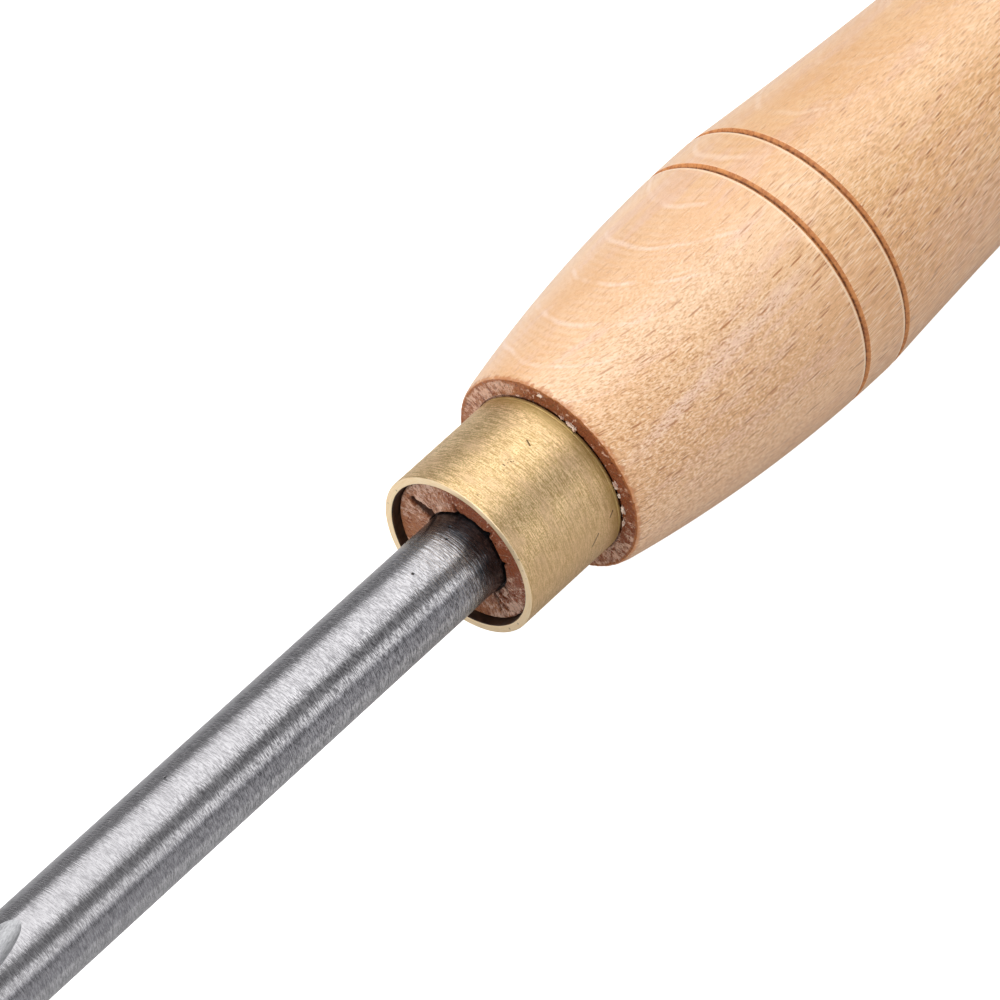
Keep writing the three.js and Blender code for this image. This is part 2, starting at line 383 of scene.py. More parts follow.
def pale_streak(shader, station, angle, wander):
    """One on the streak along the handle, which wander moves a little from side to side."""
    (from_station, from_degrees), (to_station, to_degrees) = PALE_STREAK
    drift = (to_degrees - from_degrees) / (to_station - from_station)
    middle = shader.times_plus(station, drift / 360, (from_degrees - drift * from_station) / 360)
    away = shader.times(shader.minus(angle, middle), math.tau * BELLY_RADIUS)
    away = shader.times_plus(shader.minus(wander, 0.5), 4.0, away)
    return shader.times(band(shader, away, 0.0, 0.3, 0.9),
                        band(shader, station, (from_station + to_station) / 2, 9, 9))


def raised_grain(shader, fibres, station):
    """Small ripples along the fibres, longer ones behind the grooves."""
    short = shader.noise(fibres, (2.0, 5.8, 5.8), 1, 0.8)
    long = shader.noise(fibres, (0.55, 5.8, 5.8), 1, 0.8)
    behind = shader.ramp(station, 36, 52)
    return shader.math("ADD", shader.times(long, behind),
                       shader.times(short, shader.minus(1.0, behind)))


def beech_material():
    """Steamed beech, its grain raised a little, under satin lacquer."""
    shader = Shader("beech")
    fibres = fibre_place(shader)
    station, angle, _ = around(shader)
    shaded = shader.ramp(facing(shader, FLANK), -0.9, 0.1, 0.25, 1.0)

    tone = shader.noise(fibres, (0.016, 0.14, 0.14), 4, 0.55)
    patches = shader.noise(fibres, (0.05, 0.36, 0.36), 4, 0.6)
    mottle = shader.noise(fibres, (0.45, 1.3, 1.3), 4, 0.65)
    color = shader.mix(shader.ramp(tone, 0.36, 0.64), CREAM, TAN)
    color = shader.mix(shader.ramp(patches, 0.52, 0.64, 0.0, 0.7), color, PINK)
    color = shader.mix(shader.ramp(mottle, 0.46, 0.64, 0.0, 0.5), color, TAN)
    color = shader.mix(shader.times(layer_lines(shader), 0.6), color, LAYER_EDGE)
    streak = pale_streak(shader, station, angle, patches)
    color = shader.mix(shader.times(streak, 0.6), color, STREAK_PALE)
    color = shader.mix(shader.ramp(station, 40, 60), color, FAR_TINT, "MULTIPLY")
    # Painted shade: the side towards the shaded flank is darker and browner.
    color = shader.mix(shader.ramp(facing(shader, FLANK), 0.15, 0.8), color, FLANK_SHADE_TINT,
                       "MULTIPLY")

    # Painted shade darkens the hollows of the raised grain and a painted highlight pales its
    # crests, both most on the shaded flank.
    ripple = raised_grain(shader, fibres, station)
    coarser = shader.times(shaded, shader.ramp(station, 15, 50, 1.0, 0.75))
    hollow_shade = shader.times(shader.ramp(ripple, 0.48, 0.34), coarser)
    color = shader.mix(shader.times(hollow_shade, 0.95), color, GRAIN_HOLLOW_SHADE)
    crest = shader.times(shader.ramp(ripple, 0.52, 0.66), coarser)
    color = shader.mix(shader.times(crest, 0.8), color, GRAIN_CREST_HIGHLIGHT)

    # More rays end on the flank than on the crest.
    rays = shader.most(ray_ends(shader, fibres, 6.0, 0.58, 0.8),
                       shader.times(ray_ends(shader, fibres, 2.8, 0.42, 0.6), 0.8))
    crowded = shader.ramp(facing(shader, FLANK), -0.1, 0.6)
    rays = shader.most(rays, shader.times(ray_ends(shader, fibres, 3.6, 0.32, 0.75), crowded))
    rays = shader.times(rays, shaded)
    color = shader.mix(rays, color, RAY)

    # The turner's cuts bruise the edges.
    frayed = shader.noise(fibres, (0.5, 1.9, 1.9), 4, 0.65)
    edge = shader.times_plus(frayed, 2.2, station)
    color = shader.mix(shader.ramp(edge, FERRULE_LENGTH + 1.7, FERRULE_LENGTH + 1.15, 0.0, 0.95),
                       color, BURNT_RIM)
    for centre in GROOVE_STATIONS:
        lip = band(shader, station, centre - GROOVE_WIDTH / 2, 0.12, 0.15)
        color = shader.mix(shader.times(lip, 0.7), color, LIP)

    height = shader.minus(ripple, shader.times(rays, 0.15))
    return shader.finish(color, shader.ramp(ripple, 0.3, 0.7, 0.5, 0.38),
                         shader.bump(height, 0.13, 0.9),
                         Coat_Weight=0.8, Coat_Roughness=0.3, Coat_IOR=1.6)


def groove_material():
    """Bare wood burnished brown by the point tool, with painted shade along the bottom of each V.
    """
    shader = Shader("beech_groove")
    station = around(shader)[0]
    mottle = shader.noise(fibre_place(shader), (1.2, 1.6, 1.6), 4, 0.7)
    color = shader.mix(shader.ramp(mottle, 0.40, 0.66), BURNT, BURNT_DARK)
    speckle = shader.noise(shader.place(), (1.5, 2.4, 2.4), 2)
    # Painted shade: a dark dotted line along the bottom of each V.
    deepest = shader.most(*(band(shader, station, centre + 0.03, 0.05, 0.10)
                            for centre in GROOVE_STATIONS))
    deepest = shader.times(deepest, shader.ramp(speckle, 0.35, 0.6, 0.3, 1.0))
    color = shader.mix(shader.times(deepest, 0.85), color, GROOVE_BOTTOM_SHADE)
    return shader.finish(color, 0.55, shader.bump(mottle, 0.08, 0.8))


def end_grain_material():
    """Bare end grain: burnished red-brown, with paler torn fibres, dark pores, and painted shade
    where it is sunk.
    """
    shader = Shader("beech_end_grain")
    station, angle, radius = around(shader)
    place = shader.place()
    mottle = shader.noise(place, (0.7, 0.7, 0.7), 5, 0.75)
    fine = shader.noise(place, (3.0, 3.0, 3.0), 4, 0.75)
    pale_side = shader.ramp(shader.math("ABSOLUTE", facing(shader, PALE_SIDE)), 0.7, 1.0)
    paler = shader.times_plus(pale_side, 0.12, mottle)
    redder = shader.times_plus(shader.ramp(facing(shader, RED_SIDE), -0.3, 0.7), 0.34, mottle)
    color = shader.mix(shader.ramp(redder, 0.56, 0.74), END_BROWN, END_RED)
    color = shader.mix(shader.ramp(paler, 0.56, 0.72, 0.0, 0.8), color, END_PALE)
    torn = shader.noise(shader.join(angle, radius, station), (140, 1, 0.9), 3, 0.75)
    streak = shader.times_plus(pale_side, 0.08, torn)
    color = shader.mix(shader.ramp(streak, 0.58, 0.68, 0.0, 0.85), color, END_PALE)
    color = shader.mix(shader.ramp(torn, 0.48, 0.34, 0.0, 0.9), color, END_RED)
    color = shader.mix(shader.ramp(fine, 0.44, 0.30, 0.0, 0.85), color, END_DARK)
    # Painted shade: wood set back behind the tenon's face, in tears, chips, the bore's mouth and
    # the tenon's side, is darkened.
    sunk_shade = shader.times(shader.ramp(station, TENON_FACE + 0.15, TENON_FACE + 0.5),
                        shader.ramp(station, 4.0, 2.2))
    color = shader.mix(shader.times(sunk_shade, 0.92), color, END_DARK)
    frayed = shader.noise(place, (1.4, 1.4, 1.4), 3)
    rim = shader.times_plus(frayed, 0.9, radius)
    color = shader.mix(shader.ramp(rim, SHOULDER_RADIUS - 0.2, SHOULDER_RADIUS + 0.1),
                       color, BURNT_DARK)
    height = shader.math("ADD", fine, shader.times(torn, 0.7))
    return shader.finish(color, shader.ramp(fine, 0.35, 0.65, 0.26, 0.55),
                         shader.bump(height, 0.40, 1.0), Coat_Weight=0.35,
                         Coat_Roughness=0.15, Specular_IOR_Level=0.3)


# ---- metal and glue

def bar_place(shader):
    """Place about the bar's own axis."""
    return shader.vector("SUBTRACT", shader.place(), BORE_OFFSET)


def brushed(shader, color, roughness, normal, anisotropy):
    """Metal with fine lines round it, which spread its highlights along it."""
    tangent = shader.node("Tangent", direction_type="RADIAL", axis="X")
    shader.feed_named(shader.surface, Tangent=tangent.outputs[0])
    return shader.finish(color, roughness, normal, Metallic=1.0, Anisotropic=anisotropy,
                         Anisotropic_Rotation=0.25)


def steel_material():
    """Ground bar: short fine lines round it, and a few pits."""
    shader = Shader("steel")
    place = bar_place(shader)
    lines = shader.noise(place, (8.0, 1.3, 1.3), 3, 0.85)
    cloud = shader.noise(place, (0.7, 0.4, 0.4), 3, 0.6)
    station, angle, _ = around(shader)
    # Real grinding lines, given full contrast only on the side under the second highlight as
    # painted glint, and evened out elsewhere and towards the tip.
    worn = shader.times(shader.ramp(facing(shader, GLINT_SIDE), 0.55, 0.85, 0.5, 1.0),
                        shader.ramp(station, -60, -25, 0.6, 1.0))
    color = shader.mix(shader.ramp(lines, 0.36, 0.64), STEEL_DARK, STEEL_LIGHT)
    color = shader.mix(worn, STEEL_EVEN, color)
    color = shader.mix(shader.ramp(cloud, 0.5, 0.75, 0.0, 0.35), color, STEEL_DARK)
    # Painted shade: two bands along the bar's flanks are darkened and cooled to stand in for dark
    # reflections.
    for flank, shade in PAINTED_SHADE_FLANKS:
        color = shader.mix(shader.ramp(facing(shader, flank), 0.963, 0.988), color,
                           rgb(shade, shade, shade * COOLER), "MULTIPLY")
    pit = scattered(shader, place, (0.45, 0.45, 0.45), 0.15, 0.04, 0.06)
    for at in PITS:
        pit = shader.most(pit, spot(shader, station, angle, at, BLADE_RADIUS, PIT_SIZE))
    color = shader.mix(pit, color, PIT)
    # Adhesive stain and painted shade: the bar darkens and cools over its last few millimetres
    # before the ferrule's mouth.
    creep = shader.times_plus(cloud, 3.0, station)
    stain = shader.times(shader.ramp(creep, -1.7, 1.1), shader.ramp(lines, 0.4, 0.6, 0.86, 0.66))
    color = shader.mix(stain, color, STEEL_STAIN_AND_SHADE)
    rings = shader.noise(place, (8.0, 0.5, 0.5), 1, 0.5)
    height = shader.minus(rings, shader.times(pit, 2.0))
    return brushed(shader, color, shader.ramp(cloud, 0.3, 0.7, 0.22, 0.27),
                   shader.bump(height, 0.05, 0.9), 0.7)


def flute_material():
    """Milled steel: fine lines along the flute."""
    shader = Shader("steel_flute")
    place = bar_place(shader)
    lines = shader.noise(place, (0.3, 6.0, 6.0), 4, 0.75)
    color = shader.mix(shader.ramp(lines, 0.36, 0.64), FLUTE_DARK, FLUTE_LIGHT)
    return shader.finish(color, shader.ramp(lines, 0.3, 0.7, 0.42, 0.52),
                         shader.bump(lines, 0.04, 0.8), Metallic=1.0)


def bevel_material():
    """Freshly ground steel: coarse scratches round the nose."""
    shader = Shader("steel_bevel")
    place = bar_place(shader)
    scratches = shader.noise(place, (7.0, 0.8, 7.0), 4, 0.75)
    color = shader.mix(shader.ramp(scratches, 0.35, 0.65), FLUTE_DARK, FLUTE_LIGHT)
    return shader.finish(color, shader.ramp(scratches, 0.3, 0.7, 0.2, 0.34),
                         shader.bump(scratches, 0.03, 0.8), Metallic=1.0)


def from_spot(shader, station, angle, at, about_radius):
    """Distances along and round a cylinder from (station, degrees) on it."""
    across = shader.times(shader.minus(angle, at[1] / 360), math.tau * about_radius)
    return shader.minus(station, at[0]), across


def spot(shader, station, angle, at, about_radius, size):
    """A soft spot at (station, degrees) on a cylinder."""
    along, across = from_spot(shader, station, angle, at, about_radius)
    away = shader.vector("LENGTH", shader.join(along, across, 0.0))
    return shader.ramp(away, size * 1.4, size * 0.6)


def mark(shader, station, angle, at, length, lean):
    """A straight mark on the ferrule, at (station, degrees), leaning from the axis."""
    cos, sin = math.cos(math.radians(lean)), math.sin(math.radians(lean))
    along, across = from_spot(shader, station, angle, at, FERRULE_RADIUS)
    down_it = shader.math("ADD", shader.times(along, cos), shader.times(across, sin))
    beside_it = shader.minus(shader.times(across, cos), shader.times(along, sin))
    return shader.times(band(shader, down_it, 0.0, length / 2, 0.08),
                        band(shader, beside_it, 0.0, MARK_WIDTH / 2, 0.04))


def brass_material():
    """Drawn brass tube faced on a lathe: fine lines round it, handling marks, tarnish, and painted
    shade on its flank.
    """
    shader = Shader("brass")
    place = shader.place()
    station, angle, _ = around(shader)
    lines = shader.noise(place, (8.0, 0.7, 0.7), 2, 0.7)
    grit = shader.noise(place, (7.0, 6.0, 6.0), 1, 0.7)
    lines = shader.times_plus(lines, 0.65, shader.times(grit, 0.35))
    cloud = shader.noise(place, (0.3, 0.22, 0.22), 4, 0.6)
    color = shader.mix(shader.ramp(lines, 0.38, 0.62), BRASS_DARK, BRASS_LIGHT)
    color = shader.mix(shader.ramp(grit, 0.52, 0.32, 0.0, 0.45), color, BRASS_TARNISH)
    color = shader.mix(shader.ramp(cloud, 0.45, 0.7, 0.0, 0.6), color, BRASS_PINK)
    # Painted shade: the side towards the shaded flank is darker and more orange.
    color = shader.mix(shader.ramp(facing(shader, FLANK), 0.3, 0.75, 0.0, 0.45), color,
                       BRASS_FLANK_SHADE)
    stain = shader.times_plus(cloud, 3.0, station)
    color = shader.mix(shader.ramp(stain, 13.8, 16.0, 0.0, 0.6), color, BRASS_TARNISH)
    crowd = spot(shader, station, angle, SPECKS, FERRULE_RADIUS, SPECKS_RADIUS)
    specks = scattered(shader, place, (3.4, 3.4, 3.4), 0.6, 0.2, 0.12)
    specks = shader.times(specks, crowd)
    strays = scattered(shader, place, (0.9, 0.9, 0.9), 0.25, 0.05, 0.06)
    specks = shader.most(specks, shader.times(strays, 0.7))
    marks = specks
    for at, length, lean in FERRULE_MARKS:
        marks = shader.most(marks, mark(shader, station, angle, at, length, lean))
    color = shader.mix(shader.times(marks, 0.9), color, BRASS_MARK)
    height = shader.minus(lines, marks)
    return brushed(shader, color, shader.ramp(cloud, 0.3, 0.7, 0.46, 0.54),
                   shader.bump(height, 0.04, 0.9), 0.4)


def faced_brass_material():
    """The ferrule's front edge, cut clean on the lathe."""
    shader = Shader("brass_faced")
    station, angle, radius = around(shader)
    turned = shader.noise(shader.join(radius, angle, station), (12, 40, 1), 3, 0.7)
    nick = scattered(shader, shader.place(), (1.1, 1.1, 1.1), 0.3, 0.1, 0.12)
    color = shader.mix(shader.ramp(turned, 0.35, 0.65), BRASS_FACED, BRASS_LIGHT)
    color = shader.mix(shader.times(nick, 0.6), color, BRASS_MARK)
    return shader.finish(color, shader.ramp(turned, 0.3, 0.7, 0.3, 0.4),
                         shader.bump(turned, 0.02, 0.7), Metallic=0.7)


def ferrule_inside_material():
    """The ferrule's bore, brown with old adhesive, and so dark that it is also painted shade
    inside the mouth.
    """
    shader = Shader("brass_inside")
    smear = shader.noise(shader.place(), (1.4, 0.8, 0.8), 4, 0.65)
    color = shader.mix(shader.ramp(smear, 0.3, 0.7), GLUE_BROWN, GLUE_AMBER)
    return shader.finish(color, shader.ramp(smear, 0.3, 0.7, 0.45, 0.7),
                         shader.bump(smear, 0.12, 0.8), Specular_IOR_Level=0.25)


def epoxy_material():
    """Cured adhesive, dark with wood dust."""
    shader = Shader("epoxy")
    dust = shader.noise(shader.place(), (2.0, 2.0, 2.0), 4, 0.65)
    color = shader.mix(shader.ramp(dust, 0.35, 0.65), GLUE_BROWN, GLUE_AMBER)
    return shader.finish(color, shader.ramp(dust, 0.3, 0.7, 0.2, 0.45),
                         shader.bump(dust, 0.08, 0.8))


def crumb_material():
    """Adhesive that squeezed out and dried pale."""
    shader = Shader("epoxy_crumb")
    dust = shader.noise(shader.place(), (1.3, 1.3, 1.3), 3, 0.6)
    color = shader.mix(shader.ramp(dust, 0.35, 0.65), CRUMB_PALE, CRUMB_PINK)
    return shader.finish(color, shader.ramp(dust, 0.3, 0.7, 0.25, 0.5),
                         shader.bump(dust, 0.06, 0.8), Coat_Weight=0.4)


# ---- outlines

def arc_radius(run, drop):
    """Radius of the arc that is level at its crest and has dropped by drop at run."""
    return (run * run + drop * drop) / (2 * drop)


def front_slope(station):
    """From the shoulder up to the belly."""
    size = arc_radius(BELLY_STATION - FERRULE_LENGTH, BELLY_RADIUS - SHOULDER_RADIUS)
    return BELLY_RADIUS - size + math.sqrt(size ** 2 - (station - BELLY_STATION) ** 2)


def waist_slope(station):
    """From the grooves down to the waist."""
    groove = GROOVE_STATIONS[1]
    size = arc_radius(WAIST_STATION - groove, front_slope(groove) - WAIST_RADIUS)
    return WAIST_RADIUS + size - math.sqrt(size ** 2 - (station - WAIST_STATION) ** 2)


def rear_swell(station):
    """From the waist up to the swell before the butt."""
    along = (station - WAIST_STATION) / (SWELL_STATION - WAIST_STATION)
    return WAIST_RADIUS + (SWELL_RADIUS - WAIST_RADIUS) * (1 - math.cos(math.pi * along)) / 2


def body_radius(station):
    """Radius of the handle's long surface, from the shoulder to the start of the butt."""
    if station < GROOVE_STATIONS[1]:
        return front_slope(station)
    if station < WAIST_STATION:
        return waist_slope(station)
    return rear_swell(station)


def arc(station, radius, size, from_degrees, to_degrees, steps):
    """Points along an arc about (station, radius)."""
    points = []
    for i in range(steps + 1):
        angle = math.radians(from_degrees + (to_degrees - from_degrees) * i / steps)
        points.append((station + size * math.cos(angle), radius + size * math.sin(angle)))
    return points


def spaced(start, end, spacing):
    """Evenly spaced numbers from start to end, no further apart than spacing."""
    count = max(1, math.ceil(abs(end - start) / spacing))
    return [start + (end - start) * i / count for i in range(count + 1)]


# ---- meshes

def placed(name, data):
    """A new object in the scene."""
    made = bpy.data.objects.new(name, data)
    bpy.context.scene.collection.objects.link(made)
    return made


def piece_from(name, mesh, materials, sharp_degrees=35):
    """A finished piece: smooth but for its real edges, riding on the one body."""
    for material in materials:
        mesh.materials.append(material)
    mesh.shade_smooth()
    mesh.set_sharp_from_angle(angle=math.radians(sharp_degrees))
    piece = placed(name, mesh)
    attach(piece, "root")
    return piece


def turned_mesh(name, rings, facets, closed=False, relief=None):
    """A surface turned about the handle's axis.

    Each ring is (station, radius, share of the bore's offset, material index). A ring of no
    radius closes the surface with a point. Relief moves a point, given in millimetres.
    """
    points, faces, indices, starts = [], [], [], []
    for station, radius, share, _ in rings:
        centre = Vector((station, 0, 0)) + BORE_OFFSET * share
        starts.append(len(points))
        for k in range(facets if radius > 0 else 1):
            angle = math.tau * k / facets
            point = centre + Vector((0, radius * math.cos(angle), radius * math.sin(angle)))
            points.append(relief(point) if relief else point)

    def corner(ring, k):
        return starts[ring] + (k % facets if rings[ring][1] > 0 else 0)

    pairs = [(i, i + 1) for i in range(len(rings) - 1)]
    if closed:
        pairs.append((len(rings) - 1, 0))
    for low, high in pairs:
        for k in range(facets):
            corners = [corner(low, k), corner(high, k), corner(high, k + 1), corner(low, k + 1)]
            corners = list(dict.fromkeys(corners))
            if len(corners) > 2:
                faces.append(corners)
                indices.append(rings[high][3])
    return closed_mesh(name, [FRONT + point * MM for point in points], faces, indices)


def plain_rings(points, material):
    """Rings through (station, radius) points, centred on the axis."""
    return [(station, radius, 0, material) for station, radius in points]


def strip(first, second, count):
    """Faces between two loops of points, given by the index at which each loop starts."""
    return [[first + k, first + (k + 1) % count, second + (k + 1) % count, second + k]
            for k in range(count)]


def closed_mesh(name, points, faces, indices=()):
    """A mesh with its faces turned outwards, and the material index of each."""
    mesh = bpy.data.meshes.new(name)
    mesh.from_pydata(points, [], faces)
    for polygon, index in zip(mesh.polygons, indices):
        polygon.material_index = index
    work = bmesh.new()
    work.from_mesh(mesh)
    bmesh.ops.recalc_face_normals(work, faces=work.faces)
    work.to_mesh(mesh)
    work.free()
    return mesh


# ---- handle

END_GRAIN, BEECH, GROOVE = 0, 1, 2  # the order of its materials


def handle_rings():
    """Rings from the bottom of the bore out over the tenon, shoulder and belly to the butt."""
    rings = [(BORE_DEPTH, 0, 1, END_GRAIN)]
    rings += [(s, BORE_RADIUS, 1, END_GRAIN) for s in BORE_STATIONS]
    rings.append((TENON_FACE + BORE_MOUTH, BORE_RADIUS, 1, END_GRAIN))
    for radius in spaced(BORE_RADIUS, TENON_EDGE_RADIUS - TENON_EDGE, TENON_SPACING):
        share = (TENON_EDGE_RADIUS - radius) / (TENON_EDGE_RADIUS - BORE_RADIUS)
        rings.append((TENON_FACE, radius, share, END_GRAIN))
    rings += [(TENON_FACE + TENON_EDGE, TENON_EDGE_RADIUS, 0, END_GRAIN),
              (TENON_FLARE[0], TENON_EDGE_RADIUS, 0, END_GRAIN),
              (TENON_FLARE[1], TENON_RADIUS, 0, END_GRAIN)]
    seat = FERRULE_LENGTH + SEAT_DEPTH
    rings += [(seat, r, 0, END_GRAIN) for r in (TENON_RADIUS, FERRULE_RADIUS + SEAT_GAP)]
    flat_end = SHOULDER_RADIUS - SHOULDER_EDGE
    for radius in spaced(FERRULE_RADIUS + SEAT_GAP, flat_end, SHOULDER_SPACING):
        rings.append((FERRULE_LENGTH, radius, 0, END_GRAIN))
    start = FERRULE_LENGTH + SHOULDER_EDGE
    corner = arc(start, flat_end, SHOULDER_EDGE, 180, 90, SHOULDER_STEPS)
    rings += plain_rings(corner[1:3], END_GRAIN)
    rings += plain_rings(corner[3:], BEECH)

    first, second = GROOVE_STATIONS
    half = GROOVE_WIDTH / 2
    rings += body_rings(spaced(start, first - half, BELLY_SPACING)[1:])
    rings += groove_rings(first)
    rings += body_rings(spaced(first + half, second - half, BELLY_SPACING)[1:-1])
    rings += groove_rings(second)
    rings += body_rings(spaced(second + half, SWELL_STATION, REAR_SPACING)[1:])
    flat_angle = math.degrees(math.acos(BUTT_FLAT_RADIUS / SWELL_RADIUS))
    length = (BUTT_STATION - SWELL_STATION) / math.sin(math.radians(flat_angle))
    for angle in spaced(0, flat_angle, BUTT_SPACING)[1:]:
        turn = math.radians(angle)
        station = SWELL_STATION + length * math.sin(turn)
        rings.append((station, SWELL_RADIUS * math.cos(turn), 0, BEECH))
    rings += [(BUTT_STATION, BUTT_FLAT_RADIUS / 2, 0, BEECH), (BUTT_STATION, 0, 0, BEECH)]
    return rings


def body_rings(stations):
    return plain_rings([(station, body_radius(station)) for station in stations], BEECH)


def groove_rings(centre):
    """A V cut with a point tool between two rounded lips."""
    half = GROOVE_WIDTH / 2
    rings = []
    for i in range(-GROOVE_STEPS, GROOVE_STEPS + 1):
        across = i / GROOVE_STEPS
        wall = max(0, 1 - abs(across) / GROOVE_LIP)
        rolled = (1 - abs(across)) ** 2
        depth = (GROOVE_DEPTH - GROOVE_ROLL) * wall + GROOVE_ROLL * rolled
        station = centre + across * half
        face_middle = across - 0.5 / GROOVE_STEPS
        material = GROOVE if -GROOVE_LIP < face_middle < GROOVE_LIP else BEECH
        rings.append((station, body_radius(station) - depth, 0, material))
    return rings


# How deep the tenon's end is roughened, in millimetres: in broad ridges, in fine fibres, and
# in chips that fade within a short reach of the bore's edge.
RIDGE_DEPTH, FIBRE_DEPTH, CHIP_DEPTH, CHIP_REACH = 0.16, 0.22, 0.22, 0.3
# How far the bore's edge wanders, and how deep the shoulder is rough and its rim ragged.
BORE_WANDER, SHOULDER_ROUGH, SHOULDER_RAGGED = 0.12, 0.10, 0.16

# Tears in the tenon's end: from (y, z), to (y, z), half width at each end, depth.
TEARS = (
    ((3.90, 2.00), (6.95, 2.62), 0.66, 0.42, 2.0),
    ((-3.30, -3.90), (-5.90, -5.30), 0.34, 0.12, 0.8),
    ((-3.90, -3.10), (-6.10, -3.80), 0.26, 0.10, 0.7),
    ((-4.60, -1.50), (-6.00, -2.60), 0.30, 0.10, 0.7),
    ((-4.20, -4.60), (-4.90, -6.10), 0.22, 0.10, 0.5),
    ((-4.70, 1.40), (-5.60, 1.80), 0.35, 0.15, 0.5),
    ((-2.60, 4.20), (-3.60, 5.20), 0.40, 0.15, 0.4),
    ((1.00, 5.00), (1.50, 6.10), 0.25, 0.10, 0.4),
)


def tear_depth(y, z):
    """How deep the tears are at a place on the tenon's end."""
    deepest = 0
    for start, end, wide, narrow, depth in TEARS:
        run = Vector(end) - Vector(start)
        offset = Vector((y, z)) - Vector(start)
        share = min(1, max(0, offset.dot(run) / run.length_squared))
        away = (offset - run * share).length
        half_width = wide + (narrow - wide) * share
        wobble = 0.12 * noise.noise(Vector((y * 2.2, z * 2.2, 3.1)))
        deepest = max(deepest, depth * (1 - share * 0.35) * smooth_fall(away + wobble, half_width))
    return deepest


def smooth_fall(away, half_width):
    """One on the line, none beyond one and a half half widths."""
    share = min(1, max(0, (away / half_width - 0.5)))
    return 1 - share * share * (3 - 2 * share)


def torn_end(point):
    """Moves a point of the tenon's bare end: torn fibres, chipped bore edge, open tears."""
    x, y, z = point
    about_bore = Vector((0, y - BORE_OFFSET.y, z - BORE_OFFSET.z))
    from_bore = about_bore.length - BORE_RADIUS
    ridges = noise.noise(Vector((0, y * 0.75, z * 0.75)))
    fibres = abs(noise.noise(Vector((1.7, y * 2.1, z * 2.1))))
    depth = (RIDGE_DEPTH * ridges + FIBRE_DEPTH * fibres) * min(1, 0.35 + max(0, from_bore))
    chip = 0.5 + noise.noise(Vector((5.3, y * 0.5, z * 0.5)))
    depth += CHIP_DEPTH * chip * math.exp(-max(0, from_bore) / CHIP_REACH)
    depth += tear_depth(y, z)
    rim = (TENON_EDGE_RADIUS - Vector((0, y, z)).length) / 0.5
    depth *= min(1, max(0.15, rim))
    moved = Vector((x + max(0, depth), y, z))
    if from_bore < 0.2:
        moved += about_bore.normalized() * BORE_WANDER * (chip - 0.9)
    return moved


def bruised_shoulder(point):
    """Moves a point of the shoulder's face and rim: rough end grain, a ragged edge."""
    rough = noise.noise(point * 1.3) * SHOULDER_ROUGH + noise.noise(point * 3.4) * SHOULDER_ROUGH
    radius = Vector((0, point.y, point.z)).length
    outer = min(1, max(0, (radius - SHOULDER_RADIUS + 0.9) / 0.5))
    ragged = outer * SHOULDER_RAGGED * noise.noise(Vector((0.4, point.y * 2.2, point.z * 2.2)))
    return point + Vector((abs(rough) + max(0, ragged), 0, 0))


def wood_relief(point):
    """Moves a point of the handle where its wood was left bare."""
    radius = Vector((0, point.y, point.z)).length
    if point.x < TENON_FLARE[0]:
        return torn_end(point)
    if point.x < FERRULE_LENGTH + SHOULDER_EDGE and radius > FERRULE_RADIUS + SEAT_GAP:
        return bruised_shoulder(point)
    return point


def make_handle(materials):
    mesh = turned_mesh("handle_wood", handle_rings(), HANDLE_FACETS, relief=wood_relief)
    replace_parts(piece_from("handle_wood", mesh, materials), "handle")


# ---- ferrule

def make_ferrule(materials):
    BRASS, INSIDE, FACED = 0, 1, 2
    inner = FERRULE_RADIUS - FERRULE_WALL
    low, high = inner + FERRULE_EDGE, FERRULE_RADIUS - FERRULE_OUTER_EDGE
    back = FERRULE_LENGTH - FERRULE_EDGE
    rings = [(s, r, 0, INSIDE if r < low - 0.1 else FACED)
             for s, r in arc(FERRULE_EDGE, low, FERRULE_EDGE, 270, 180, EDGE_STEPS)]
    rings += [(s, r, 0, FACED if s < 0.06 else BRASS)
              for s, r in arc(FERRULE_OUTER_EDGE, high, FERRULE_OUTER_EDGE, 180, 90, EDGE_STEPS)]
    line = FERRULE_LENGTH - FERRULE_LINE_BACK
    sides = [(FERRULE_OUTER_EDGE + 0.03, 0)]
    sides += [(s, 0) for s in spaced(1.0, line - 0.5, 1.0)]
    sides += [(line - 0.09, 0), (line - 0.06, 0), (line, FERRULE_LINE_DEPTH), (line + 0.06, 0),
              (line + 0.09, 0), (back - 0.03, 0)]
    rings += [(s, FERRULE_RADIUS - depth, 0, BRASS) for s, depth in sides]
    outer = FERRULE_RADIUS - FERRULE_EDGE
    rings += plain_rings(arc(back, outer, FERRULE_EDGE, 90, 0, EDGE_STEPS), BRASS)
    rings += plain_rings(arc(back, low, FERRULE_EDGE, 0, -90, EDGE_STEPS), INSIDE)
    mesh = turned_mesh("ferrule_brass", rings, METAL_FACETS, closed=True)
    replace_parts(piece_from("ferrule_brass", mesh, materials, sharp_degrees=60), "ferrule")


# ---- adhesive

# Crumbs at the shoulder: degrees round the axis, distance from it, length and thickness.
CRUMBS = (
    (152, 10.30, 1.10, 0.42), (160, 10.22, 0.60, 0.30), (171, 10.28, 1.30, 0.42),
    (182, 10.25, 0.90, 0.32), (108, 10.32, 1.25, 0.55), (100, 10.25, 0.60, 0.28),
    (84, 11.50, 0.60, 0.28), (66, 10.25, 0.50, 0.20), (14, 10.25, 0.60, 0.22),
    (2, 10.25, 0.90, 0.20), (-8, 10.25, 0.50, 0.22), (228, 10.25, 0.60, 0.25),
)


